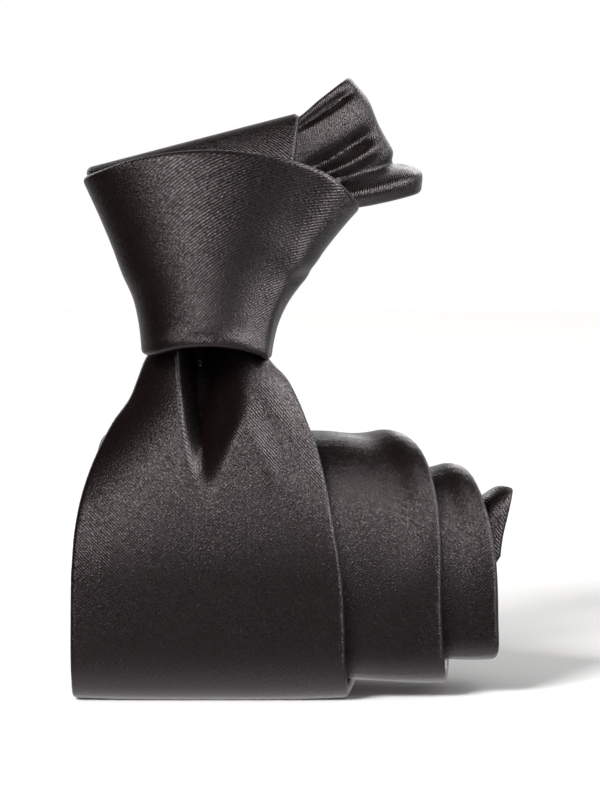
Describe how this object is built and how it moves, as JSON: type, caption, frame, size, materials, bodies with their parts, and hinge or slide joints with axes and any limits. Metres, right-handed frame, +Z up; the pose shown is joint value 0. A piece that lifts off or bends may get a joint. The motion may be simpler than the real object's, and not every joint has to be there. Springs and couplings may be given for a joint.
{
  "type": "necktie",
  "caption": "Black satin necktie, tied, its blade and tail wound into a roll that it stands on, with the small neck loop behind the knot.",
  "frame": {"origin": "on the surface the roll stands on, below the knot and in the middle of the depth of the flat foot", "axes": "+Z up, +X to the right of the knot's face, the knot's face looks along -Y"},
  "size_m": [0.093, 0.0657, 0.1244],
  "materials": {
    "satin": "black woven silk satin, soft sheen",
    "interlining": "undyed brushed wool interlining",
    "tipping": "plain black lining",
    "stitching": "black silk thread"
  },
  "bodies": {
    "roll": {"blade_shell": "satin", "blade_interlining": "interlining", "blade_tipping": "tipping", "blade_bar_tack": "stitching", "blade_slip_stitch": "stitching", "keeper_loop": "satin", "tail_shell": "satin", "tail_interlining": "interlining", "tail_tipping": "tipping", "tail_bar_tack": "stitching", "tail_slip_stitch": "stitching"},
    "knot": {"knot_front_wrap_shell": "satin", "knot_front_wrap_interlining": "interlining", "knot_back_wrap_shell": "satin", "knot_back_wrap_interlining": "interlining", "knot_over_wrap_shell": "satin", "knot_over_wrap_interlining": "interlining", "knot_core_shell": "satin", "knot_core_interlining": "interlining"},
    "neck_loop": {"neck_shell": "satin", "neck_interlining": "interlining", "neck_slip_stitch": "stitching"}
  },
  "joints": [
    {"name": "knot_tilt", "type": "hinge", "parent": "roll", "child": "knot", "pos_m": [-0.0019, -0.006, 0.0716], "axis": [1, 0, 0], "range_deg": [-12, 15]},
    {"name": "loop_swing", "type": "hinge", "parent": "knot", "child": "neck_loop", "pos_m": [0.001, 0.0085, 0.1], "axis": [1, 0, 0], "range_deg": [-14, 16]}
  ]
}
